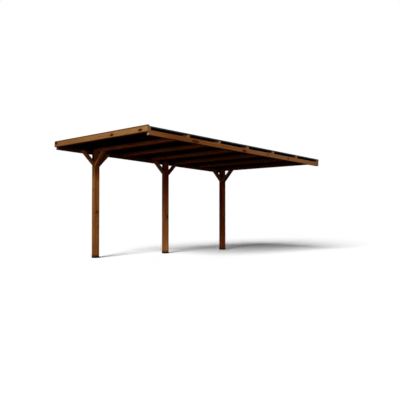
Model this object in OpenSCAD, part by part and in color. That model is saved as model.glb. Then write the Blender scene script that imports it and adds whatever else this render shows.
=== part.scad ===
// Lean-to timber carport: three posts and an eave beam on one long side, a ledger for
// the wall on the other, joists across, and ribbed steel sheets that fall to the rear.
// Millimetres. X runs from the front end to the rear end, Y from the wall to the posts,
// Z up. The origin is the middle of the ledger's wall face.

/* [Roof] */
// Length of the roof along its fall, from the front board to the rear joist
roof_length = 5030; // [4600:5:5600]
// Depth of the roof from the wall face to the outer face of the eave beam
roof_depth = 3150; // [2400:10:3600]
// Fall of the roof towards the rear end, in degrees
roof_fall = 2.86; // [1:0.01:5]
// Height of the joist undersides above the ground at the front end
seat_height = 2372; // [2150:1:2700]

/* [Posts] */
// Width of the square posts and of the braces that meet them
post_w = 120; // [90:1:140]
// Distance from the roof's front end to the front post
front_overhang = 895; // [450:5:1200]

/* [Ledger and beam] */
// Thickness of the wall ledger
ledger_t = 60; // [35:1:80]
// Thickness of the eave beam
beam_t = 45; // [35:1:70]
// Height of the wall ledger and of the eave beam
beam_h = 85; // [70:1:140]
// Depth of the notch that seats each joist over the ledger and the beam
notch_depth = 36; // [15:1:45]

/* [Joists] */
// Thickness of the joists
joist_t = 45; // [35:1:60]
// Height of the joists
joist_h = 85; // [75:1:120]

/* [Front board] */
// Thickness of the front board
front_board_t = 45; // [27:1:80]
// Height of the front board
front_board_h = 122; // [112:1:180]
// Height of its lower edge above the joist undersides
front_board_lift = 4; // [0:1:12]

/* [Front batten] */
// Thickness of the batten that carries the sheets behind the front board
batten_t = 30; // [20:1:45]

/* [Braces] */
// Thickness of the knee braces
brace_t = 45; // [35:1:60]
// Distance along the roof's underside from a post to the outer edge of its brace
brace_reach = 300; // [220:1:420]

/* [Post shoes] */
// Wall thickness of the steel shoes
shoe_wall = 3; // [2:0.5:5]
// Floor thickness of the steel shoes
shoe_floor = 4; // [3:0.5:8]
// Height of the steel shoes
shoe_height = 42; // [15:1:80]
// Clearance between a post and its shoe
shoe_clearance = 0.3; // [0.1:0.1:1]

/* [Roof sheets] */
// Thickness of the steel sheets
sheet_t = 0.63; // [0.5:0.01:1.2]
// Height of the ribs
rib_h = 25; // [12:1:35]
// Width of a rib at its crown
rib_crown = 30; // [20:1:40]
// Width of a rib at its foot
rib_foot = 64; // [50:1:80]
// Ribs from one side lap to the next
ribs_per_sheet = 5; // [4:1:6]
// Height of the shallow swage that stiffens each pan between two ribs
swage_h = 2.5; // [1:0.5:5]
// Width of that swage at its foot
swage_foot = 26; // [16:1:40]
// Width of that swage at its crown
swage_crown = 12; // [6:1:14]
// Clearance where one sheet laps over the next
lap_clearance = 0.1; // [0.05:0.05:0.3]
// Gap between the front board and the sheets
sheet_front_gap = 3; // [1:1:15]
// Overhang of the sheets past the rear joist
sheet_overhang = 10; // [0:1:60]

/* [Eave trim] */
// Thickness of the folded steel trim along the eave
trim_t = 0.8; // [0.5:0.1:1.5]
// How far the trim lies over the crown of the last rib
trim_lap = 28; // [20:1:34]
// How far the trim hangs down over the eave beam
trim_drop = 14; // [5:1:30]

/* [Edges] */
// Rounding of the planed timber's long edges
arris = 4; // [2:0.5:8]

/* [Hidden] */

$fn = 48;
timber = [0.48, 0.29, 0.14];
timber_dark = [0.40, 0.23, 0.11];
steel_black = [0.06, 0.06, 0.065];

sheet_count = 3;
joist_count = 6;
brace_angle = 45;
beyond = 1000;   // how far a cutting block reaches past the piece that it cuts

// Post centres: the rear post is flush with the roof's rear end, and the eave beam
// is fixed to the posts' outer faces.
post_y = roof_depth - beam_t - post_w / 2;
front_post_x = front_overhang + post_w / 2;
rear_post_x = roof_length * cos(roof_fall) - post_w / 2;
middle_post_x = (front_post_x + rear_post_x) / 2;

// Joist centres along the fall: the first stands over the front post, the last
// closes the rear end.
first_joist = front_post_x / cos(roof_fall);
last_joist = roof_length - joist_t / 2;
joist_spacing = (last_joist - first_joist) / (joist_count - 1);

// Sheet ribs, counted across the roof from the wall
rib_pitch = (roof_depth - rib_foot) / (sheet_count * ribs_per_sheet);
lap_rise = sheet_t + lap_clearance;

// Middle of the ledger's wall face, along the fall and square to it, then from the roof's
// front end at the ground
ledger_mid_u = (front_board_t + roof_length) / 2;
ledger_mid_w = notch_depth - beam_h / 2;
origin_x = ledger_mid_u * cos(roof_fall) + ledger_mid_w * sin(roof_fall);
origin_z = seat_height + ledger_mid_w * cos(roof_fall) - ledger_mid_u * sin(roof_fall);

function rib_centre(i) = rib_foot / 2 + i * rib_pitch;

// Underside of a rib, from foot to foot: rise is what its first foot and crown gain
// where it laps over the sheet below.
function rib_points(y, rise, closed) = concat(
    [[y - rib_foot / 2, rise], [y - rib_crown / 2, rib_h + rise], [y + rib_crown / 2, rib_h + rise]],
    closed ? [[y + rib_foot / 2, 0]] : []
);

// Underside of the swage in the pan beside the rib at y
function swage_points(y) = [
    [y + (rib_pitch - swage_foot) / 2, 0], [y + (rib_pitch - swage_crown) / 2, swage_h],
    [y + (rib_pitch + swage_crown) / 2, swage_h], [y + (rib_pitch + swage_foot) / 2, 0]
];

// Underside of one sheet across the roof: its last rib stays open under the next sheet.
function sheet_line(k) = [
    for (i = [0 : ribs_per_sheet])
        for (p = concat(
            rib_points(
                rib_centre(k * ribs_per_sheet + i),
                i == 0 && k > 0 ? lap_rise : 0,
                i < ribs_per_sheet || k == sheet_count - 1
            ),
            i < ribs_per_sheet ? swage_points(rib_centre(k * ribs_per_sheet + i)) : []
        )) p
];

function raised(line, rise) = [for (p = line) [p[0], p[1] + rise]];
function turned(line) = [for (i = [len(line) - 1 : -1 : 0]) line[i]];

// From the ground at the roof's front end to the model's own origin
module on_site() {
    translate([-origin_x, 0, -origin_z]) children();
}

// The roof's own frame: x along the fall, y across, z square to the joist undersides
module in_roof() {
    translate([0, 0, seat_height]) rotate([0, roof_fall, 0]) children();
}

// All that lies above the joist undersides
module above_seat() {
    in_roof()
        translate([-beyond, -beyond, 0])
            cube([roof_length + 2 * beyond, roof_depth + 2 * beyond, beyond]);
}

// Section of planed timber with eased corners
module eased_section(a, b) {
    translate([arris, 0]) square([a - 2 * arris, b]);
    translate([0, arris]) square([a, b - 2 * arris]);
    for (x = [arris, a - arris], y = [arris, b - arris])
        translate([x, y]) circle(r = arris);
}

// Timber along X: its section is width across Y by height along Z
module timber_along_x(length, width, height) {
    rotate([90, 0, 90]) linear_extrude(height = length) eased_section(width, height);
}

// Timber along Y: its section is width across X by height along Z
module timber_along_y(length, width, height) {
    translate([0, length, 0])
        rotate([90, 0, 0])
            linear_extrude(height = length) eased_section(width, height);
}

module post(x) {
    color(timber)
        on_site()
            difference() {
                translate([x - post_w / 2, post_y - post_w / 2, shoe_floor])
                    linear_extrude(height = seat_height) eased_section(post_w, post_w);
                above_seat();
            }
}

module post_shoe(x) {
    socket = post_w + 2 * shoe_clearance;
    outside = socket + 2 * shoe_wall;
    corner = arris + shoe_wall;
    color(steel_black)
        on_site()
            translate([x, post_y, 0])
                difference() {
                    translate([-outside / 2, -outside / 2, 0])
                        linear_extrude(height = shoe_height) shoe_outline(outside, corner);
                    translate([-socket / 2, -socket / 2, shoe_floor])
                        linear_extrude(height = shoe_height) shoe_outline(socket, arris);
                }
}

module shoe_outline(side, r) {
    translate([r, 0]) square([side - 2 * r, side]);
    translate([0, r]) square([side, side - 2 * r]);
    for (x = [r, side - r], y = [r, side - r])
        translate([x, y]) circle(r = r);
}

// Ledger and eave beam are equally high and butt against the front board; y is where the
// near face stands and t the thickness.
module long_beam(y, t) {
    color(timber)
        on_site()
            in_roof()
                translate([front_board_t, y, notch_depth - beam_h])
                    timber_along_x(roof_length - front_board_t, t, beam_h);
}

module wall_ledger() {
    long_beam(0, ledger_t);
}

module eave_beam() {
    long_beam(roof_depth - beam_t, beam_t);
}

module front_board() {
    color(timber)
        on_site()
            in_roof()
                translate([0, 0, front_board_lift])
                    timber_along_y(roof_depth, front_board_t, front_board_h);
}

// A member across the roof, notched at both ends over the ledger and the beam
module cross_member(x, t) {
    color(timber_dark)
        on_site()
            in_roof()
                translate([x, 0, 0])
                    difference() {
                        timber_along_y(roof_depth, t, joist_h);
                        translate([-beyond, -beyond, -beyond])
                            cube([2 * beyond, beyond + ledger_t, beyond + notch_depth]);
                        translate([-beyond, roof_depth - beam_t, -beyond])
                            cube([2 * beyond, beyond + beam_t, beyond + notch_depth]);
                    }
}

module joist(i) {
    cross_member(first_joist + (i - 1) * joist_spacing - joist_t / 2, joist_t);
}

// The batten lies against the back of the front board, under the sheets' front edges.
module front_batten() {
    cross_member(front_board_t, batten_t);
}

// Knee brace of a post at x, in the upright plane that heading gives: 0 looks to the rear,
// 180 to the front and 270 to the wall. Its foot is cut to the post's face and its head
// to the joist undersides.
module brace(x, heading) {
    along = cos(heading);
    face_x = x + along * post_w / 2;
    seat_at_face = seat_height - face_x * tan(roof_fall);
    drop = brace_reach * (1 + along * tan(roof_fall));
    bar = 2 * brace_reach + 2 * post_w;
    color(timber)
        on_site()
            difference() {
                translate([x, post_y, seat_at_face - drop])
                    rotate([0, 0, heading])
                        difference() {
                            translate([post_w / 2, -post_w / 2, 0])
                                rotate([0, -brace_angle, 0])
                                    translate([-post_w, 0, 0])
                                        timber_along_x(bar, post_w, brace_t);
                            translate([post_w / 2 - beyond, -beyond / 2, -beyond / 2])
                                cube(beyond);
                        }
                above_seat();
            }
}

// One ribbed sheet, laid with its ribs along the fall
module roof_sheet(k) {
    underside = sheet_line(k);
    start = front_board_t + sheet_front_gap;
    color(steel_black)
        on_site()
            in_roof()
                translate([start, 0, joist_h])
                    rotate([90, 0, 90])
                        linear_extrude(height = roof_length + sheet_overhang - start)
                            polygon(concat(underside, turned(raised(underside, sheet_t))));
}

// Folded trim that closes the eave: it lies on the last rib and hangs over the beam.
module eave_trim() {
    start = front_board_t + sheet_front_gap;
    top = joist_h + rib_h + sheet_t;
    edge = roof_depth - rib_foot / 2 - rib_crown / 2 + (rib_crown - trim_lap);
    foot = notch_depth - trim_drop;
    color(steel_black)
        on_site()
            in_roof()
                translate([start, 0, 0])
                    rotate([90, 0, 90])
                        linear_extrude(height = roof_length + sheet_overhang - start)
                            polygon([
                                [edge, top], [roof_depth, top], [roof_depth, foot],
                                [roof_depth + trim_t, foot], [roof_depth + trim_t, top + trim_t],
                                [edge, top + trim_t]
                            ]);
}

post(front_post_x);  // front_post
post(middle_post_x);  // middle_post
post(rear_post_x);  // rear_post
post_shoe(front_post_x);  // front_post_shoe
post_shoe(middle_post_x);  // middle_post_shoe
post_shoe(rear_post_x);  // rear_post_shoe
wall_ledger();
eave_beam();
front_board();
front_batten();
joist(1);  // joist_1
joist(2);  // joist_2
joist(3);  // joist_3
joist(4);  // joist_4
joist(5);  // joist_5
joist(6);  // joist_6
brace(front_post_x, 180);  // front_post_brace_forward
brace(front_post_x, 0);  // front_post_brace_rearward
brace(front_post_x, 270);  // front_post_brace_inward
brace(middle_post_x, 180);  // middle_post_brace_forward
brace(middle_post_x, 0);  // middle_post_brace_rearward
brace(rear_post_x, 180);  // rear_post_brace_forward
brace(rear_post_x, 270);  // rear_post_brace_inward
roof_sheet(0);  // roof_sheet_wall
roof_sheet(1);  // roof_sheet_centre
roof_sheet(2);  // roof_sheet_eave
eave_trim();
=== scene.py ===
import math

import bmesh
import bpy
from mathutils import Matrix, Vector


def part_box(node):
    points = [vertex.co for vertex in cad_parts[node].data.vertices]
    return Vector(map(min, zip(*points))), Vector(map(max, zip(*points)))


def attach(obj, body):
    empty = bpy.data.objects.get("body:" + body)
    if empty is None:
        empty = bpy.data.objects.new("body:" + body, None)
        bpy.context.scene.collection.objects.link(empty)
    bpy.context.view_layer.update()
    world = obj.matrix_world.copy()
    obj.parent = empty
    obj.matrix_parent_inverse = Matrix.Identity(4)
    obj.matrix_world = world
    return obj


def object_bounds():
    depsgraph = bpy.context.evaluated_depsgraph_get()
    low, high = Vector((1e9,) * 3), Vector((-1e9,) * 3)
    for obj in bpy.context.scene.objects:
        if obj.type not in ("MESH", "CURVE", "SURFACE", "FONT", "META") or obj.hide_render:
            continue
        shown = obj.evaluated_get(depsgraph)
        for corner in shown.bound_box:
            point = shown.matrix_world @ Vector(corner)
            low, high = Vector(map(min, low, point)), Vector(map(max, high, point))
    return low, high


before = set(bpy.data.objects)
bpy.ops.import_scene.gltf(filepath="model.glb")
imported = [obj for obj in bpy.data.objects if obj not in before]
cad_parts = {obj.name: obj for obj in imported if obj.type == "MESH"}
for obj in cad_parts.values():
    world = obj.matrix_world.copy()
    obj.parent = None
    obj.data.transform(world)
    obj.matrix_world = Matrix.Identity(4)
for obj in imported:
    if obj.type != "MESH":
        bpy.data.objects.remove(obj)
cadLow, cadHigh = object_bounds()
print("frame loaded:", len(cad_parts), "nodes")

# metres, in the part's own frame: +X down the fall, +Y from the ledger to the posts, +Z up
upright = Vector((0, 0, 1))
towardsPosts = Vector((0, 1, 0))
towardsRear = Vector((1, 0, 0))
postNames = ("front_post", "middle_post", "rear_post")
joistNames = tuple("joist_%d" % number for number in range(1, 7))

# sizes that the frame's boxes don't give by themselves
roofSpec = {
    "boardThick": 0.045,
    "boardHigh": 0.122,
    "boardLift": 0.004,       # its lower edge above the joist undersides
    "ledgerThick": 0.060,
    "beamThick": 0.045,
    "beamHigh": 0.085,        # ledger and eave beam
    "battenThick": 0.030,
    "joistThick": 0.045,
    "joistHigh": 0.085,
    "braceThick": 0.045,
    "ribHigh": 0.025,
    "ribFoot": 0.064,
    "ribs": 15,               # pitches from the first rib to the last
    "sheetThick": 0.00063,
    "trimThick": 0.0008,
}


def middleOf(name):
    low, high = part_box(name)
    return (low + high) / 2


# the roof's own directions come from its first and last joist, its corner from the front board
downFall = (middleOf("joist_6") - middleOf("joist_1")).normalized()
squareToRoof = downFall.cross(towardsPosts)
boardMiddle = middleOf("front_board")
roofDepth = 2 * boardMiddle.y
roofCorner = boardMiddle - downFall * (roofSpec["boardThick"] / 2)
roofCorner -= squareToRoof * (roofSpec["boardLift"] + roofSpec["boardHigh"] / 2)
roofCorner.y = 0
ribPitch = (roofDepth - roofSpec["ribFoot"]) / roofSpec["ribs"]
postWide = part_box("front_post")[1].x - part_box("front_post")[0].x


def onRoof(along, across, above):
    # from the ledger's front corner, above the joist undersides
    return roofCorner + downFall * along + towardsPosts * across + squareToRoof * above


def alongRoof(name):
    return (middleOf(name) - roofCorner).dot(downFall)


def tint(red, green, blue):
    # screen colour, 0 to 255, as the shader's own numbers
    out = []
    for part in (red, green, blue):
        part = part / 255
        out.append(part / 12.92 if part <= 0.04045 else ((part + 0.055) / 1.055) ** 2.4)
    return (*out, 1.0)


def shaded(colour, gain):
    # paler above 1, darker below
    return (*(part * gain for part in colour[:3]), 1.0)


class Wire:
    # one socket of a node tree: the operators add Math nodes to it
    def __init__(self, tree, socket=None):
        self.tree = tree
        self.socket = socket

    def node(self, kind, settings=None, values=None, out=0):
        made = self.tree.nodes.new(kind)
        for key, value in (settings or {}).items():
            setattr(made, key, value)
        for key, value in (values or {}).items():
            if isinstance(value, Wire):
                self.tree.links.new(value.socket, made.inputs[key])
            else:
                made.inputs[key].default_value = value
        return Wire(self.tree, made.outputs[out] if len(made.outputs) else None)

    def also(self, out):
        # another output of the same node
        return Wire(self.tree, self.socket.node.outputs[out])

    def math(self, operation, *parts):
        return self.node("ShaderNodeMath", {"operation": operation}, dict(enumerate(parts)))

    def __add__(self, other):
        return self.math("ADD", self, other)

    __radd__ = __add__

    def __sub__(self, other):
        return self.math("SUBTRACT", self, other)

    def __rsub__(self, other):
        return self.math("SUBTRACT", other, self)

    def __mul__(self, other):
        return self.math("MULTIPLY", self, other)

    __rmul__ = __mul__

    def __truediv__(self, other):
        return self.math("DIVIDE", self, other)

    def __pow__(self, other):
        return self.math("POWER", self, other)

    def __abs__(self):
        return self.math("ABSOLUTE", self)

    def most(self, other):
        return self.math("MAXIMUM", self, other)

    def fraction(self):
        return self.math("FRACT", self)

    def ease(self, start, end):
        # 0 at start, 1 at end, smooth between
        ends = {"Value": self, "From Min": start, "From Max": end}
        return self.node("ShaderNodeMapRange", {"interpolation_type": "SMOOTHSTEP"}, ends)

    def stretched(self, along, across, height):
        how = {0: self, 1: (along, across, height)}
        return self.node("ShaderNodeVectorMath", {"operation": "MULTIPLY"}, how)

    def shifted(self, offset):
        return self.node("ShaderNodeVectorMath", {"operation": "ADD"}, {0: self, 1: offset})

    def facing(self, direction):
        how = {0: self, 1: direction}
        return self.node("ShaderNodeVectorMath", {"operation": "DOT_PRODUCT"}, how, "Value")

    def span(self):
        return self.node("ShaderNodeVectorMath", {"operation": "LENGTH"}, {0: self}, "Value")

    def parts(self):
        x = self.node("ShaderNodeSeparateXYZ", {}, {0: self}, "X")
        return x, x.also("Y"), x.also("Z")

    def noise(self, detail=2.0, roughness=0.5):
        how = {"Vector": self, "Scale": 1.0, "Detail": detail, "Roughness": roughness}
        return self.node("ShaderNodeTexNoise", {}, how, "Fac")

    def towards(self, other, amount, blend="MIX"):
        # this colour mixed with another
        kind = {"data_type": "RGBA", "blend_type": blend}
        return self.node("ShaderNodeMix", kind, {0: amount, 6: self, 7: other}, 2)

    def between(self, low, high):
        # this value as a step from one colour to another
        return self.node("ShaderNodeMix", {"data_type": "RGBA"}, {0: self, 6: low, 7: high}, 2)


def newMaterial(name):
    material = bpy.data.materials.new(name)
    material.use_nodes = True
    material.node_tree.nodes.clear()
    return material, Wire(material.node_tree)


def closeMaterial(start, shader):
    start.node("ShaderNodeOutputMaterial", {}, {"Surface": shader})


def turnedTo(start, middle, axes):
    # Object coordinates seen from a member's own middle, along its own three directions
    place = start.node("ShaderNodeTexCoord", out="Object")
    how = {"Vector": place, "Location": middle, "Rotation": axes.transposed().to_euler()}
    return start.node("ShaderNodeMapping", {"vector_type": "TEXTURE"}, how)


# camera where the picture was taken from; the picture is square, 400 by 400
cameraSpec = {
    "place": (-8.42367, -7.5035, -1.25055),
    "heading": 0.81097,     # from +X towards +Y
    "tilt": 0.02311,
    "lens": 50.41,
    "sensor": 36.0,
    "clipEnd": 500.0,
}
cameraData = bpy.data.cameras.new("camera")
cameraData.lens = cameraSpec["lens"]
cameraData.sensor_width = cameraSpec["sensor"]
cameraData.clip_end = cameraSpec["clipEnd"]
camera = bpy.data.objects.new("camera", cameraData)
camera.location = cameraSpec["place"]
camera.rotation_euler = (math.pi / 2 + cameraSpec["tilt"], 0, cameraSpec["heading"] - math.pi / 2)
bpy.context.scene.collection.objects.link(camera)
bpy.context.scene.camera = camera
bpy.context.scene.view_settings.view_transform = "Standard"

# soft key light from the front left, weak low ones from the front and from behind, pale sky round them
lightSpec = {
    "keyHeading": math.radians(25),      # the way the light travels, from +X towards +Y
    "keyElevation": math.radians(23.5),
    "keyStrength": 3.25,
    "keySpread": math.radians(25),
    "lowHeading": math.radians(15),
    "lowElevation": math.radians(1.5),
    "lowStrength": 0.5,
    "lowSpread": math.radians(8),
    "fillHeading": math.radians(222),
    "fillElevation": math.radians(1),
    "fillStrength": 1.4,
    "fillSpread": math.radians(8),
    "sky": 0.018,
}


def addSun(name, heading, elevation, strength, spread):
    sunData = bpy.data.lights.new(name, "SUN")
    sunData.energy = strength
    sunData.angle = spread
    sun = bpy.data.objects.new(name, sunData)
    flat = math.cos(elevation)
    travel = Vector((flat * math.cos(heading), flat * math.sin(heading), -math.sin(elevation)))
    sun.rotation_euler = travel.to_track_quat("-Z", "Y").to_euler()
    bpy.context.scene.collection.objects.link(sun)


for part in ("key", "low", "fill"):
    addSun(part + "Light", lightSpec[part + "Heading"], lightSpec[part + "Elevation"],
           lightSpec[part + "Strength"], lightSpec[part + "Spread"])


def seenDirectly(start):
    path = start.node("ShaderNodeLightPath", out="Is Camera Ray")
    return path.most(path.also("Is Glossy Ray")).most(path.also("Is Transmission Ray"))


world = bpy.data.worlds.new("studio")
bpy.context.scene.world = world
world.use_nodes = True
world.node_tree.nodes.clear()
sky = Wire(world.node_tree)
skyLevel = seenDirectly(sky) * (1 - lightSpec["sky"]) + lightSpec["sky"]
skyShader = sky.node("ShaderNodeBackground", {}, {"Color": (1, 1, 1, 1), "Strength": skyLevel})
sky.node("ShaderNodeOutputWorld", {}, {"Surface": skyShader})

floorSpec = {
    "reach": 90.0,
    "seen": 2.28,                    # white in the light, grey in the object's shadow
    "bounce": (0.17, 0.11, 0.09),    # what it throws back under the roof
}
floorMesh = bpy.data.meshes.new("floor")
floorShape = bmesh.new()
bmesh.ops.create_grid(
    floorShape, x_segments=2, y_segments=2, size=floorSpec["reach"],
    matrix=Matrix.Translation((0, 0, cadLow.z)))
floorShape.to_mesh(floorMesh)
floorShape.free()
floor = bpy.data.objects.new("floor", floorMesh)
bpy.context.scene.collection.objects.link(floor)
floorMaterial, start = newMaterial("paleFloor")
paleSeen = start.node("ShaderNodeBsdfDiffuse", {}, {"Color": (*[floorSpec["seen"]] * 3, 1)})
dull = start.node("ShaderNodeBsdfDiffuse", {}, {"Color": (*floorSpec["bounce"], 1)})
closeMaterial(start, start.node("ShaderNodeMixShader", {}, {0: seenDirectly(start), 1: dull, 2: paleSeen}))
floorMesh.materials.append(floorMaterial)
print("camera, light and floor set")

# stained softwood: every member has its own log, cut along its own length
woodSpec = {
    "ring": 0.0058,                   # from one year's ring to the next
    "ringDrift": 0.028,
    "hues": ((0.97, 1.05, 0.94, 1), (1.06, 0.94, 0.98, 1)),    # yellower and redder patches
    "pinKnot": 0.017,                 # largest radius of the scattered knots
    "knotLong": 1.6,                  # how much longer a scattered knot is along the member
    "knotPull": 0.012,                # how far the rings give way round a knot
    "knotTinge": 0.22,                # how much of its colour the wood round a knot takes
    "knotHeart": tint(68, 20, 2),
    "heartShare": 0.95,
    "knotDark": tint(50, 13, 1),
    "rimShare": 0.7,
    "crack": tint(30, 14, 6),
    "cracked": 0.8,
    "arrisShade": tint(60, 32, 13),     # painted shade along the arrises
    "arrisShadeBand": (0.011, 0.003),       # from the arris inwards
    "wornEdge": tint(160, 116, 70),
    "wornBand": (0.006, 0.0005),
    "worn": 0.3,
    "endLight": tint(172, 140, 102),
    "endDark": tint(116, 86, 58),
    "rough": 0.66,
    "grainBump": 0.35,
    "grainDeep": 0.0012,
}


def stainOrShade(axis, begin, full, colour, amount, ragged=0.0):
    # another colour over part of a member, a stain or painted shade: along it (x), across it (y) or up it
    # (z), from its middle
    return {"axis": axis, "ends": (begin, full), "tint": colour, "amount": amount, "ragged": ragged,
            "blend": "MIX", "along": None}


def lightOrShadeGain(axis, begin, full, gain, ragged=0.0, along=None):
    # painted light or shade: the member's own colour, made paler or darker
    made = stainOrShade(axis, begin, full, (*gain, 1), 1.0, ragged)
    made["blend"] = "MULTIPLY"
    made["along"] = along
    return made


def knotsOf(wood, start, knots, pins, seed):
    # (core, ring round it, pull on the grain) of the placed knots and of the scattered ones
    spots = []
    for place, size, long, depth in knots:
        away = wood.shifted(-place).stretched(1 / long, 1, 1).span()
        spots.append((away / size, depth))
    if pins:
        cell = 1 / (6 * woodSpec["pinKnot"])
        strewn = wood.shifted((seed, seed * 2, seed * 3)).stretched(cell / woodSpec["knotLong"], cell, cell)
        near = start.node("ShaderNodeTexVoronoi", {}, {"Vector": strewn, "Scale": 1.0}, "Distance")
        chance = near.also("Color").node("ShaderNodeSeparateColor", {}, {0: near.also("Color")}, "Red")
        size = chance.ease(1 - pins, 1.0) * 0.16 + 0.0001
        spots.append((near / size, 1.0))
    core = rim = pull = 0.0
    for near, depth in spots:
        ownCore = near.ease(1.15, 0.85) * depth
        rim = (near.ease(0.55, 0.9) * ownCore).most(rim)
        pull = (near.ease(4.0, 0.4) * depth).most(pull)
        core = ownCore.most(core)
    return core, rim, pull


def timberFinish(name, along, up, spec, knots=(), shift=0.0):
    material, start = newMaterial(name)
    seed = spec["seed"]
    side = up.cross(along).normalized()
    axes = Matrix((along, side, along.cross(side)))
    middle = middleOf(name) + up * shift
    wood = turnedTo(start, middle, axes)
    x, y, z = wood.parts()
    own = wood.shifted((seed * 3.17, seed * 1.73, seed * 2.39))
    wide, high = spec["section"]
    placed = [(axes @ (place - middle), *rest) for place, *rest in knots]
    core, rim, pull = knotsOf(wood, start, placed, spec["pins"], seed)

    # rings round a pith that lies off the member's middle and runs a little askew
    pithY = wide * (0.55 + 0.35 * math.sin(seed * 2.1)) - x * (0.006 * math.sin(seed))
    pithZ = high * (0.45 * math.cos(seed * 1.3)) - x * (0.008 * math.cos(seed * 3))
    drift = own.stretched(0.55, 4.0, 4.0).noise(3.0) - 0.5
    bend = drift * woodSpec["ringDrift"]
    radius = ((y - pithY) ** 2 + (z - pithZ) ** 2) ** 0.5 + bend + pull * woodSpec["knotPull"]
    phase = (radius / woodSpec["ring"]).fraction()
    late = phase.ease(0.25, 0.9) * (1 - phase.ease(0.9, 1.0))
    fibre = own.stretched(3.0, 170.0, 170.0).noise(4.0, 0.6)
    streak = own.stretched(0.7, 17.0, 17.0).noise(3.0, 0.55)
    cloud = own.stretched(1.6, 4.0, 4.0).noise()

    depth = late * 0.34 + (fibre - 0.5) * 0.6 + (streak - 0.5) * 1.0 + (cloud - 0.5) * 0.8 + 0.36
    colour = depth.ease(0.0, 1.0).between(spec["light"], spec["dark"])
    patch = own.stretched(1.2, 9.0, 9.0).noise(2.0)
    colour = colour.towards(patch.ease(0.35, 0.65).between(*woodSpec["hues"]), 1.0, "MULTIPLY")
    # stains, and painted light and shade, laid over the grain
    for overlay in spec.get("stainsAndShades", ()):
        reach = (x, y, z)["xyz".index(overlay["axis"])] + (streak - 0.5) * overlay["ragged"]
        amount = reach.ease(*overlay["ends"]) * overlay["amount"]
        if overlay["along"]:
            amount = amount * x.ease(*overlay["along"])
        colour = colour.towards(overlay["tint"], amount, overlay["blend"])
    colour = colour.towards(woodSpec["knotHeart"], pull * woodSpec["knotTinge"])
    colour = colour.towards(woodSpec["knotHeart"], core * woodSpec["heartShare"])
    colour = colour.towards(woodSpec["knotDark"], rim * woodSpec["rimShare"])

    # drying cracks run with the grain, here and there
    line = own.stretched(0.9, 24.0, 24.0).noise(1.0)
    split = own.stretched(1.1, 7.0, 7.0).noise(1.0)
    crack = abs(line - 0.5).ease(0.009, 0.002) * split.ease(0.54, 0.6)
    colour = colour.towards(woodSpec["crack"], crack * woodSpec["cracked"])

    # the arrises: how far a point is from the nearer of them
    edge = (wide / 2 - abs(y)).most(high / 2 - abs(z))
    # painted shade on the arrises, for members that ask for it
    arrisShadeMask = edge.ease(*woodSpec["arrisShadeBand"]) * spec.get("arrisShade", 0.0)
    colour = colour.towards(woodSpec["arrisShade"], arrisShadeMask)
    worn = edge.ease(*woodSpec["wornBand"]) * own.stretched(4.0, 60.0, 60.0).noise(3.0).ease(0.42, 0.7)
    colour = colour.towards(woodSpec["wornEdge"], worn * woodSpec["worn"])

    normal = start.node("ShaderNodeNewGeometry", out="Normal")
    cutEnd = abs(normal.facing(along)).ease(0.85, 0.97)
    endDepth = late * 0.7 + (fibre - 0.5) * 0.5 + (cloud - 0.5) * 0.5 + 0.1
    endColour = endDepth.ease(0.0, 1.0).between(woodSpec["endLight"], woodSpec["endDark"])
    colour = colour.towards(endColour, cutEnd * spec["endPale"])

    grain = late * 0.5 + fibre * 0.5 + core * 0.4 - crack * 1.5
    bump = start.node("ShaderNodeBump", {}, {
        "Strength": woodSpec["grainBump"], "Distance": woodSpec["grainDeep"], "Height": grain})
    rough = woodSpec["rough"] - late * 0.1 + (fibre - 0.5) * 0.2 + cutEnd * 0.15
    closeMaterial(start, start.node("ShaderNodeBsdfPrincipled", {}, {
        "Base Color": colour, "Roughness": rough, "Normal": bump, "Specular IOR Level": 0.0}))
    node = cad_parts[name]
    node.data.materials.clear()
    node.data.materials.append(material)


frontBoardSpec = {
    "seed": 7.1,
    "section": (roofSpec["boardThick"], roofSpec["boardHigh"]),
    "light": tint(174, 128, 80),
    "dark": tint(128, 85, 44),
    "endPale": 0.35,
    "pins": 0.0,
    # across, above, radius, how much longer along the board, how dark
    "knots": (
        (3.093, 0.082, 0.036, 1.4, 1.0), (1.055, 0.050, 0.025, 1.9, 1.0), (0.200, 0.050, 0.024, 2.3, 1.0),
    ),
    # the far end is darker; the dark bands along the upper and lower edges and at the far arris are painted
    # shade
    "stainsAndShades": (
        stainOrShade("x", -1.4, 1.2, tint(122, 78, 42), 0.8, 0.6),
        stainOrShade("x", 1.55, 1.573, tint(60, 32, 16), 0.7),
        stainOrShade("z", 0.030, 0.046, tint(82, 50, 24), 0.8, 0.012),
        stainOrShade("z", -0.046, -0.057, tint(62, 36, 18), 0.8, 0.006),
    ),
}
boardKnots = [(onRoof(0, across, above), *rest) for across, above, *rest in frontBoardSpec["knots"]]
timberFinish("front_board", towardsPosts, squareToRoof, frontBoardSpec, boardKnots)

ledgerSpec = {
    "seed": 4.2,
    "section": (roofSpec["ledgerThick"], roofSpec["beamHigh"]),
    "light": tint(174, 110, 58),
    "dark": tint(129, 67, 27),
    "endPale": 0.6,
    "pins": 0.0,
    # along, above, radius, how much longer along the ledger, how dark
    "knots": (
        (1.128, -0.014, 0.029, 3.0, 0.75), (2.470, -0.018, 0.025, 2.4, 0.8),
        (3.201, -0.001, 0.014, 1.6, 0.8), (3.90, -0.012, 0.016, 1.6, 0.8),
    ),
    # redder in the front half but for the very end, greyer towards the low end; the darker lower edge is
    # painted shade
    "stainsAndShades": (
        stainOrShade("x", -0.8, -1.8, tint(127, 65, 27), 0.5, 0.8),
        stainOrShade("x", -1.9, -2.4, tint(171, 111, 60), 0.7, 0.6),
        stainOrShade("x", -1.2, 1.2, tint(165, 119, 79), 0.55, 0.8),
        stainOrShade("z", -0.034, -0.042, tint(70, 35, 12), 0.7, 0.008),
    ),
}
ledgerKnots = [(onRoof(along, 0, above), *rest) for along, above, *rest in ledgerSpec["knots"]]
timberFinish("wall_ledger", downFall, squareToRoof, ledgerSpec, ledgerKnots)

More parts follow.
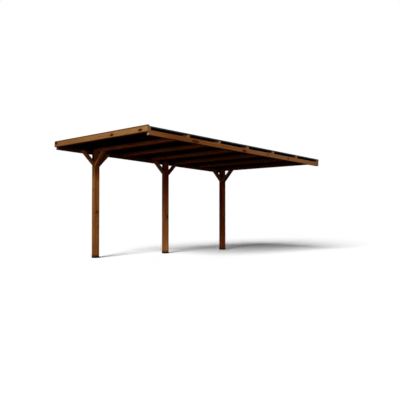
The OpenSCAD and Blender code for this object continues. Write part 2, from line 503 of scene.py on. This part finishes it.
eaveBeamSpec = {
    "seed": 5.7,
    "section": (roofSpec["beamThick"], roofSpec["beamHigh"]),
    # darker and redder than the other timber: painted shade under the roof
    "light": tint(112, 54, 28),
    "dark": tint(76, 30, 13),
    "endPale": 0.3,
    "pins": 0.35,
}
timberFinish("eave_beam", downFall, squareToRoof, eaveBeamSpec)

joistSpec = {
    "seed": 9.4,
    "seedStep": 1.7,
    "section": (roofSpec["joistThick"], roofSpec["joistHigh"]),
    # redder and darker than the posts: painted shade under the roof
    "light": tint(156, 84, 46),
    "dark": tint(112, 52, 24),
    "endPale": 0.75,
    "lastEndPale": 0.2,
    "pins": 0.35,
    "towardsRear": (2.0, 1.45, 1.35, 1.1, 0.75, 0.5),    # painted light and shade: brighter near the open front, darker towards the rear
    # the ends keep a plain brown where light reaches them, outside the painted shade; dark along the lower
    # edge
    "stainsAndShades": (
        stainOrShade("z", -0.020, -0.036, tint(58, 24, 11), 0.85, 0.014),
        stainOrShade("x", -1.46, -1.52, tint(120, 78, 40), 0.9, 0.06),
        stainOrShade("x", 1.46, 1.52, tint(120, 78, 40), 0.9, 0.06),
    ),
}
for index, name in enumerate(joistNames):
    spec = dict(joistSpec, seed=joistSpec["seed"] + index * joistSpec["seedStep"])
    for shade in ("light", "dark"):
        spec[shade] = shaded(joistSpec[shade], joistSpec["towardsRear"][index])
    if name == joistNames[-1]:
        spec["endPale"] = joistSpec["lastEndPale"]
    timberFinish(name, towardsPosts, squareToRoof, spec)

battenSpec = dict(joistSpec, seed=8.3, section=(roofSpec["battenThick"], roofSpec["joistHigh"]))
timberFinish("front_batten", towardsPosts, squareToRoof, battenSpec)

postSpec = {
    "seed": 1.3,
    "seedStep": 2.1,
    "section": (postWide, postWide),
    "light": tint(136, 90, 43),
    "dark": tint(96, 53, 19),
    # painted shade: the rear post is darker and redder, standing in the roof's shadow
    "rear": {"light": tint(115, 55, 21), "dark": tint(77, 29, 8)},
    "endPale": 0.5,
    "arrisShade": 0.7,
    "pins": 0.3,
    # from the post's middle line in half widths, then height above the foot, radius, stretch and darkness
    "knots": {
        "front_post": ((0.03, -1, 1.009, 0.020, 1.6, 1.0), (-1, 0.17, 1.49, 0.012, 1.6, 1.0)),
        "middle_post": ((0.35, -1, 0.889, 0.026, 1.8, 1.0), (-1, -0.33, 0.52, 0.012, 1.6, 1.0)),
        "rear_post": ((0.08, -1, 0.800, 0.016, 1.6, 1.0), (-1, 0.25, 1.25, 0.014, 1.6, 1.0)),
    },
    # darker at the foot; the red towards the head is painted shade under the roof
    "footDark": tint(62, 36, 17),
    "footDarkRise": (0.09, 0.05),
    "red": tint(115, 42, 14),
    "redRise": (-0.5, 0.8),
    "shadeRed": {"front_post": 0.1, "middle_post": 0.7, "rear_post": 0.6},
    # painted light: the skin towards the ledger is made paler
    "ledgerSide": (-0.050, -0.058),
    "paler": {
        "front_post": (1.8, 1.6, 1.35), "middle_post": (2.0, 1.9, 1.8), "rear_post": (2.3, 2.3, 2.1),
    },
    # painted light and shade: side, where it begins and is full above the post's middle, gain
    "paintedShading": {
        "front_post": (
            ("ledger", 0.45, 0.75, (0.68, 0.46, 0.32)), ("ledger", 0.82, 0.90, (2.0, 2.5, 2.8)),
            ("others", -0.45, -0.15, (1.2, 1.3, 1.4)), ("others", 0.50, 0.70, (0.8, 0.75, 0.7))),
        "middle_post": (
            ("ledger", -0.25, 0.05, (1.3, 1.0, 0.9)), ("ledger", 0.55, 0.80, (0.65, 0.4, 0.6)),
            ("ledger", -0.70, -0.95, (1.25, 1.45, 1.6)), ("others", -0.45, -0.75, (1.15, 1.25, 1.4))),
        "rear_post": (
            ("ledger", -0.30, 0.0, (1.6, 1.8, 2.2)), ("ledger", 0.56, 0.70, (0.4, 0.35, 0.3)),
            ("others", -0.76, -0.46, (0.8, 0.7, 0.6))),
    },
}
for index, name in enumerate(postNames):
    foot = middleOf(name)
    foot.z = cadLow.z
    postKnots = []
    for dx, dy, rise, *rest in postSpec["knots"][name]:
        postKnots.append((foot + Vector((dx * postWide / 2, dy * postWide / 2, rise)), *rest))
    spec = dict(postSpec, seed=postSpec["seed"] + index * postSpec["seedStep"])
    if name == postNames[-1]:
        spec.update(postSpec["rear"])
    footAt = cadLow.z - middleOf(name).z
    footDarkEnds = [footAt + rise for rise in postSpec["footDarkRise"]]
    ledgerSide = postSpec["ledgerSide"]
    stainsAndShades = [
        stainOrShade("x", *footDarkEnds, postSpec["footDark"], 0.75, 0.03),
        stainOrShade("x", *postSpec["redRise"], postSpec["red"], postSpec["shadeRed"][name], 0.5),
        lightOrShadeGain("z", *ledgerSide, postSpec["paler"][name]),
    ]
    for where, begin, full, gain in postSpec["paintedShading"][name]:
        ends = ledgerSide if where == "ledger" else ledgerSide[::-1]
        stainsAndShades.append(lightOrShadeGain("z", *ends, gain, along=(begin, full)))
    spec["stainsAndShades"] = stainsAndShades
    timberFinish(name, upright, towardsPosts, spec, postKnots)

braceSpec = {
    "seed": 21.0,
    "seedStep": 1.9,
    "section": (postWide, roofSpec["braceThick"]),
    "light": tint(148, 86, 42),
    "dark": tint(108, 52, 20),
    "endPale": 0.5,
    "pins": 0.25,
    # painted shade: the middle and rear posts' braces are darker, deeper under the roof
    "towardsRear": {"front_post": 1.0, "middle_post": 0.75, "rear_post": 0.65},
    # painted light and shade on the two braces nearest the open front: paler where lit, darker where shaded
    "paintedLighting": {
        "front_post_brace_inward": (
            lightOrShadeGain("y", 0.010, -0.040, (2.1, 2.2, 2.4), 0.02),
            lightOrShadeGain("y", 0.010, 0.040, (0.5, 0.45, 0.45), 0.02)),
        "front_post_brace_forward": (lightOrShadeGain("x", -0.05, 0.15, (1.6, 1.7, 1.9), 0.1),),
    },
}
# each brace with the way it leans out from its post
braces = {
    "front_post_brace_forward": -towardsRear,
    "front_post_brace_rearward": towardsRear,
    "front_post_brace_inward": -towardsPosts,
    "middle_post_brace_forward": -towardsRear,
    "middle_post_brace_rearward": towardsRear,
    "rear_post_brace_forward": -towardsRear,
    "rear_post_brace_inward": -towardsPosts,
}
for index, (name, out) in enumerate(braces.items()):
    along = (out + upright).normalized()
    inner = (upright - out).normalized()
    spec = dict(braceSpec, seed=braceSpec["seed"] + index * braceSpec["seedStep"])
    for shade in ("light", "dark"):
        spec[shade] = shaded(braceSpec[shade], braceSpec["towardsRear"][name.split("_brace")[0]])
    spec["stainsAndShades"] = braceSpec["paintedLighting"].get(name, ())
    timberFinish(name, along, inner, spec, shift=roofSpec["braceThick"] / 2)
print("timber finished")

sheetSpec = {
    "black": tint(15, 15, 16),
    "dust": tint(82, 78, 72),
    "dusty": 0.35,
    "coat": 0.5,
    "coatRough": 0.32,
}
sheetMaterial, start = newMaterial("blackSheet")
onSheet = turnedTo(start, roofCorner, Matrix((downFall, towardsPosts, squareToRoof)))
panTop = roofSpec["joistHigh"] + roofSpec["sheetThick"]
wash = onSheet.stretched(0.7, 22.0, 22.0).noise(4.0, 0.6)
patch = onSheet.stretched(0.9, 1.4, 1.4).noise(3.0)
speck = onSheet.stretched(260.0, 260.0, 260.0).noise()
above = onSheet.parts()[2]
pan = (above - panTop).ease(0.014, 0.001)
skyward = start.node("ShaderNodeNewGeometry", out="Normal").facing(squareToRoof).ease(0.1, 0.7)
dust = (wash.ease(0.4, 0.75) * 0.6 + patch.ease(0.35, 0.8) * 0.5) * skyward * (pan * 0.7 + 0.3)
colour = (dust * sheetSpec["dusty"]).between(sheetSpec["black"], sheetSpec["dust"])
bump = start.node("ShaderNodeBump", {}, {"Strength": 0.12, "Distance": 0.0004, "Height": speck})
closeMaterial(start, start.node("ShaderNodeBsdfPrincipled", {}, {
    "Base Color": colour, "Roughness": 0.62 + dust * 0.25, "Normal": bump, "Specular IOR Level": 0.0,
    "Coat Weight": skyward * (1 - dust) * sheetSpec["coat"], "Coat Roughness": sheetSpec["coatRough"]}))
for name in ("roof_sheet_wall", "roof_sheet_centre", "roof_sheet_eave", "eave_trim"):
    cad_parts[name].data.materials.clear()
    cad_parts[name].data.materials.append(sheetMaterial)

shoeSpec = {
    "black": tint(30, 20, 15),
    "scuffed": tint(84, 76, 68),
    "scuffs": 0.3,
    "dust": tint(120, 112, 100),
    "dusty": 0.25,
    "dustHigh": 0.012,
}
shoeMaterial, start = newMaterial("blackShoe")
place = start.node("ShaderNodeTexCoord", out="Object")
grit = place.stretched(420.0, 420.0, 420.0).noise(3.0)
scuff = place.stretched(30.0, 30.0, 90.0).noise(4.0).ease(0.58, 0.72)
low = (place.parts()[2] - cadLow.z).ease(shoeSpec["dustHigh"], 0.0)
dust = low * place.stretched(14.0, 14.0, 14.0).noise(3.0).ease(0.4, 0.7)
colour = (scuff * shoeSpec["scuffs"]).between(shoeSpec["black"], shoeSpec["scuffed"])
colour = colour.towards(shoeSpec["dust"], dust * shoeSpec["dusty"])
bump = start.node("ShaderNodeBump", {}, {"Strength": 0.2, "Distance": 0.0004, "Height": grit})
closeMaterial(start, start.node("ShaderNodeBsdfPrincipled", {}, {
    "Base Color": colour, "Roughness": 0.6 + scuff * 0.2, "Normal": bump, "Specular IOR Level": 0.08}))
for name in postNames:
    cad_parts[name + "_shoe"].data.materials.clear()
    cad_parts[name + "_shoe"].data.materials.append(shoeMaterial)

screwSpec = {
    "rubbed": tint(66, 62, 58),
    "tarnished": tint(34, 30, 28),
    "metal": 0.8,
    "turn": 0.7,     # radians from one head to the next
}
screwMaterial, start = newMaterial("darkScrew")
place = start.node("ShaderNodeTexCoord", out="Object")
tarnish = place.stretched(130.0, 130.0, 130.0).noise(3.0).ease(0.35, 0.7)
rub = place.stretched(500.0, 500.0, 500.0).noise(2.0)
colour = tarnish.between(screwSpec["rubbed"], screwSpec["tarnished"])
bump = start.node("ShaderNodeBump", {}, {"Strength": 0.1, "Distance": 0.0002, "Height": rub})
closeMaterial(start, start.node("ShaderNodeBsdfPrincipled", {}, {
    "Base Color": colour, "Roughness": 0.38 + tarnish * 0.25, "Metallic": screwSpec["metal"],
    "Normal": bump}))
print("steel finished")


# one head is modelled, seated at the origin and looking along +Z, then copied to its places
def hexHead(spec):
    shape = bmesh.new()
    washerMiddle = Matrix.Translation((0, 0, spec["washerThick"] / 2))
    headMiddle = Matrix.Translation((0, 0, spec["washerThick"] + spec["headHigh"] / 2))
    bmesh.ops.create_cone(
        shape, cap_ends=True, segments=16, radius1=spec["washer"],
        radius2=spec["washer"] * spec["washerTaper"], depth=spec["washerThick"], matrix=washerMiddle)
    bmesh.ops.create_cone(
        shape, cap_ends=True, segments=6, radius1=spec["head"], radius2=spec["head"],
        depth=spec["headHigh"], matrix=headMiddle)
    top = spec["washerThick"] + spec["headHigh"]
    rim = [edge for edge in shape.edges if all(corner.co.z > top - 0.0001 for corner in edge.verts)]
    bmesh.ops.bevel(
        shape, geom=rim, offset=spec["head"] * spec["chamfer"], affect="EDGES", segments=1, profile=0.5,
        material=-1)
    return shape


def domeHead(spec):
    # a low dome with a round drive recess, turned from its outline
    shape = bmesh.new()
    radius = spec["head"]
    high = spec["headHigh"]
    drive = spec["drive"]
    outline = [(0, high * 0.45), (drive, high * 0.45), (drive, high * 0.97), (radius * 0.6, high * 0.9),
               (radius * 0.95, high * 0.4), (radius, 0), (0, 0)]
    line = [shape.verts.new((across, 0, rise)) for across, rise in outline]
    rim = [shape.edges.new(pair) for pair in zip(line, line[1:])]
    bmesh.ops.spin(
        shape, geom=line + rim, cent=(0, 0, 0), axis=(0, 0, 1), angle=2 * math.pi, steps=14, use_merge=True)
    bmesh.ops.remove_doubles(shape, verts=shape.verts, dist=0.00002)
    bmesh.ops.recalc_face_normals(shape, faces=shape.faces)
    return shape


def setFasteners(name, head, places):
    # places are (point, way the head looks); each head is turned a little further than the last
    master = bpy.data.meshes.new(name + "Head")
    head.to_mesh(master)
    head.free()
    joined = bmesh.new()
    for index, (point, out) in enumerate(places):
        before = len(joined.verts)
        joined.from_mesh(master)
        joined.verts.ensure_lookup_table()
        turn = out.to_track_quat("Z", "Y").to_matrix().to_4x4()
        turn = turn @ Matrix.Rotation(index * screwSpec["turn"], 4, "Z")
        bmesh.ops.transform(joined, matrix=Matrix.Translation(point) @ turn, verts=joined.verts[before:])
    mesh = bpy.data.meshes.new(name)
    joined.to_mesh(mesh)
    joined.free()
    bpy.data.meshes.remove(master)
    mesh.materials.append(screwMaterial)
    piece = bpy.data.objects.new(name, mesh)
    bpy.context.scene.collection.objects.link(piece)
    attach(piece, "root")
    print(name, len(places))


# sheet screws stand in the pans, beside the swages, over every joist and over the batten
sheetScrewSpec = {
    "washer": 0.008, "washerThick": 0.002, "washerTaper": 0.85,
    "head": 0.0046, "headHigh": 0.005, "chamfer": 0.14,
    "besideRib": 0.061,
}
rows = [alongRoof(name) for name in joistNames]
rows.append(alongRoof("front_batten"))
places = []
for row in rows:
    for rib in range(roofSpec["ribs"]):
        across = roofSpec["ribFoot"] / 2 + rib * ribPitch + sheetScrewSpec["besideRib"]
        places.append((onRoof(row, across, panTop), squareToRoof))
setFasteners("sheet_screws", hexHead(sheetScrewSpec), places)

# rivets along the eave trim, on the crown of the last rib
rivetSpec = {
    "head": 0.004, "headHigh": 0.0018, "drive": 0.0012,
    "first": 0.16, "last": 4.96, "count": 12,
}
crownTop = panTop + roofSpec["ribHigh"] + roofSpec["trimThick"]
step = (rivetSpec["last"] - rivetSpec["first"]) / (rivetSpec["count"] - 1)
places = []
for number in range(rivetSpec["count"]):
    along = rivetSpec["first"] + number * step
    places.append((onRoof(along, roofDepth - roofSpec["ribFoot"] / 2, crownTop), squareToRoof))
setFasteners("trim_rivets", domeHead(rivetSpec), places)

# washer-head screws: eave beam to posts and brace heads, braces to posts and joists
frameScrewSpec = {
    "head": 0.0095, "headHigh": 0.0036, "drive": 0.0032,
    "beamRise": (-0.036, -0.002),     # above the joist undersides, on the beam's outer face
    "braceRise": -0.02,               # the same for the screw into a brace's head
    "apart": 0.03,                    # half the distance between a brace's two screws
    "footShare": 0.15,
    "headShare": 0.86,
}
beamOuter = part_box("eave_beam")[1].y
places = []
for name in postNames:
    for rise in frameScrewSpec["beamRise"]:
        point = onRoof(alongRoof(name), beamOuter, rise)
        point.x = middleOf(name).x
        places.append((point, towardsPosts))
for name, out in braces.items():
    low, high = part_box(name)
    middle = (low + high) / 2
    half = (high - low) / 2
    lean = Vector((out.x * half.x, out.y * half.y, half.z))
    lowTip = middle - lean
    outward = (out - upright).normalized()
    across = out.cross(upright)
    shares = [frameScrewSpec["footShare"]]
    if out == -towardsPosts:
        shares.append(frameScrewSpec["headShare"])
    else:
        headPoint = lowTip + lean * 2 * frameScrewSpec["headShare"]
        headAlong = (headPoint - roofCorner).dot(downFall)
        places.append((onRoof(headAlong, beamOuter, frameScrewSpec["braceRise"]), towardsPosts))
    for share in shares:
        for reach in (-frameScrewSpec["apart"], frameScrewSpec["apart"]):
            places.append((lowTip + lean * 2 * share + across * reach, outward))
setFasteners("frame_screws", domeHead(frameScrewSpec), places)

# small heads hold the front board to the ledger and to the beam
boardScrewSpec = {"head": 0.005, "headHigh": 0.0012, "drive": 0.002, "rise": 0.024}
places = []
for across in (roofSpec["ledgerThick"] / 2, roofDepth - roofSpec["beamThick"] / 2):
    places.append((onRoof(0, across, boardScrewSpec["rise"]), -downFall))
setFasteners("board_screws", domeHead(boardScrewSpec), places)

# one hexagon screw on two sides of every post shoe
shoeScrewSpec = {
    "washer": 0.0065, "washerThick": 0.001, "washerTaper": 0.85,
    "head": 0.0048, "headHigh": 0.0038, "chamfer": 0.14,
    "rise": 0.024,
}
places = []
for name in postNames:
    low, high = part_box(name + "_shoe")
    for face, out in ((low.y, -towardsPosts), (high.y, towardsPosts)):
        places.append((Vector(((low.x + high.x) / 2, face, low.z + shoeScrewSpec["rise"])), out))
setFasteners("shoe_screws", hexHead(shoeScrewSpec), places)
print("fasteners set")

# foam plugs close the rib ends over the last joist
plugSpec = {
    "long": 0.040, "slack": 0.0004, "crown": 0.030,
    "black": tint(24, 23, 23), "mottled": tint(38, 36, 35), "cells": 700.0,
}
plugMaterial, start = newMaterial("blackFoam")
place = start.node("ShaderNodeTexCoord", out="Object")
cells = start.node("ShaderNodeTexVoronoi", {}, {"Vector": place, "Scale": plugSpec["cells"]}, "Distance")
mottle = place.stretched(90.0, 90.0, 90.0).noise(2.0)
bump = start.node("ShaderNodeBump", {}, {"Strength": 0.4, "Distance": 0.0005, "Height": cells})
closeMaterial(start, start.node("ShaderNodeBsdfPrincipled", {}, {
    "Base Color": mottle.between(plugSpec["black"], plugSpec["mottled"]), "Roughness": 0.85 + cells * 0.1,
    "Normal": bump, "Specular IOR Level": 0.05}))
plugs = bmesh.new()
plugWide = roofSpec["ribFoot"] - 2 * plugSpec["slack"]
plugHigh = roofSpec["ribHigh"] - 2 * plugSpec["slack"]
taper = plugSpec["crown"] / roofSpec["ribFoot"]
turn = Matrix((downFall, towardsPosts, squareToRoof)).transposed().to_4x4()
for rib in range(roofSpec["ribs"] + 1):
    across = roofSpec["ribFoot"] / 2 + rib * ribPitch
    seat = onRoof(alongRoof(joistNames[-1]), across, roofSpec["joistHigh"] + plugSpec["slack"])
    made = bmesh.ops.create_cube(plugs, size=1.0, matrix=Matrix.Translation((0, 0, 0.5)))["verts"]
    bmesh.ops.scale(plugs, vec=(1, taper, 1), verts=[corner for corner in made if corner.co.z > 0.5])
    bmesh.ops.scale(plugs, vec=(plugSpec["long"], plugWide, plugHigh), verts=made)
    bmesh.ops.transform(plugs, matrix=Matrix.Translation(seat) @ turn, verts=made)
plugMesh = bpy.data.meshes.new("rib_plugs")
plugs.to_mesh(plugMesh)
plugs.free()
plugMesh.materials.append(plugMaterial)
plugPiece = bpy.data.objects.new("rib_plugs", plugMesh)
bpy.context.scene.collection.objects.link(plugPiece)
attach(plugPiece, "root")
print("rib plugs", roofSpec["ribs"] + 1)
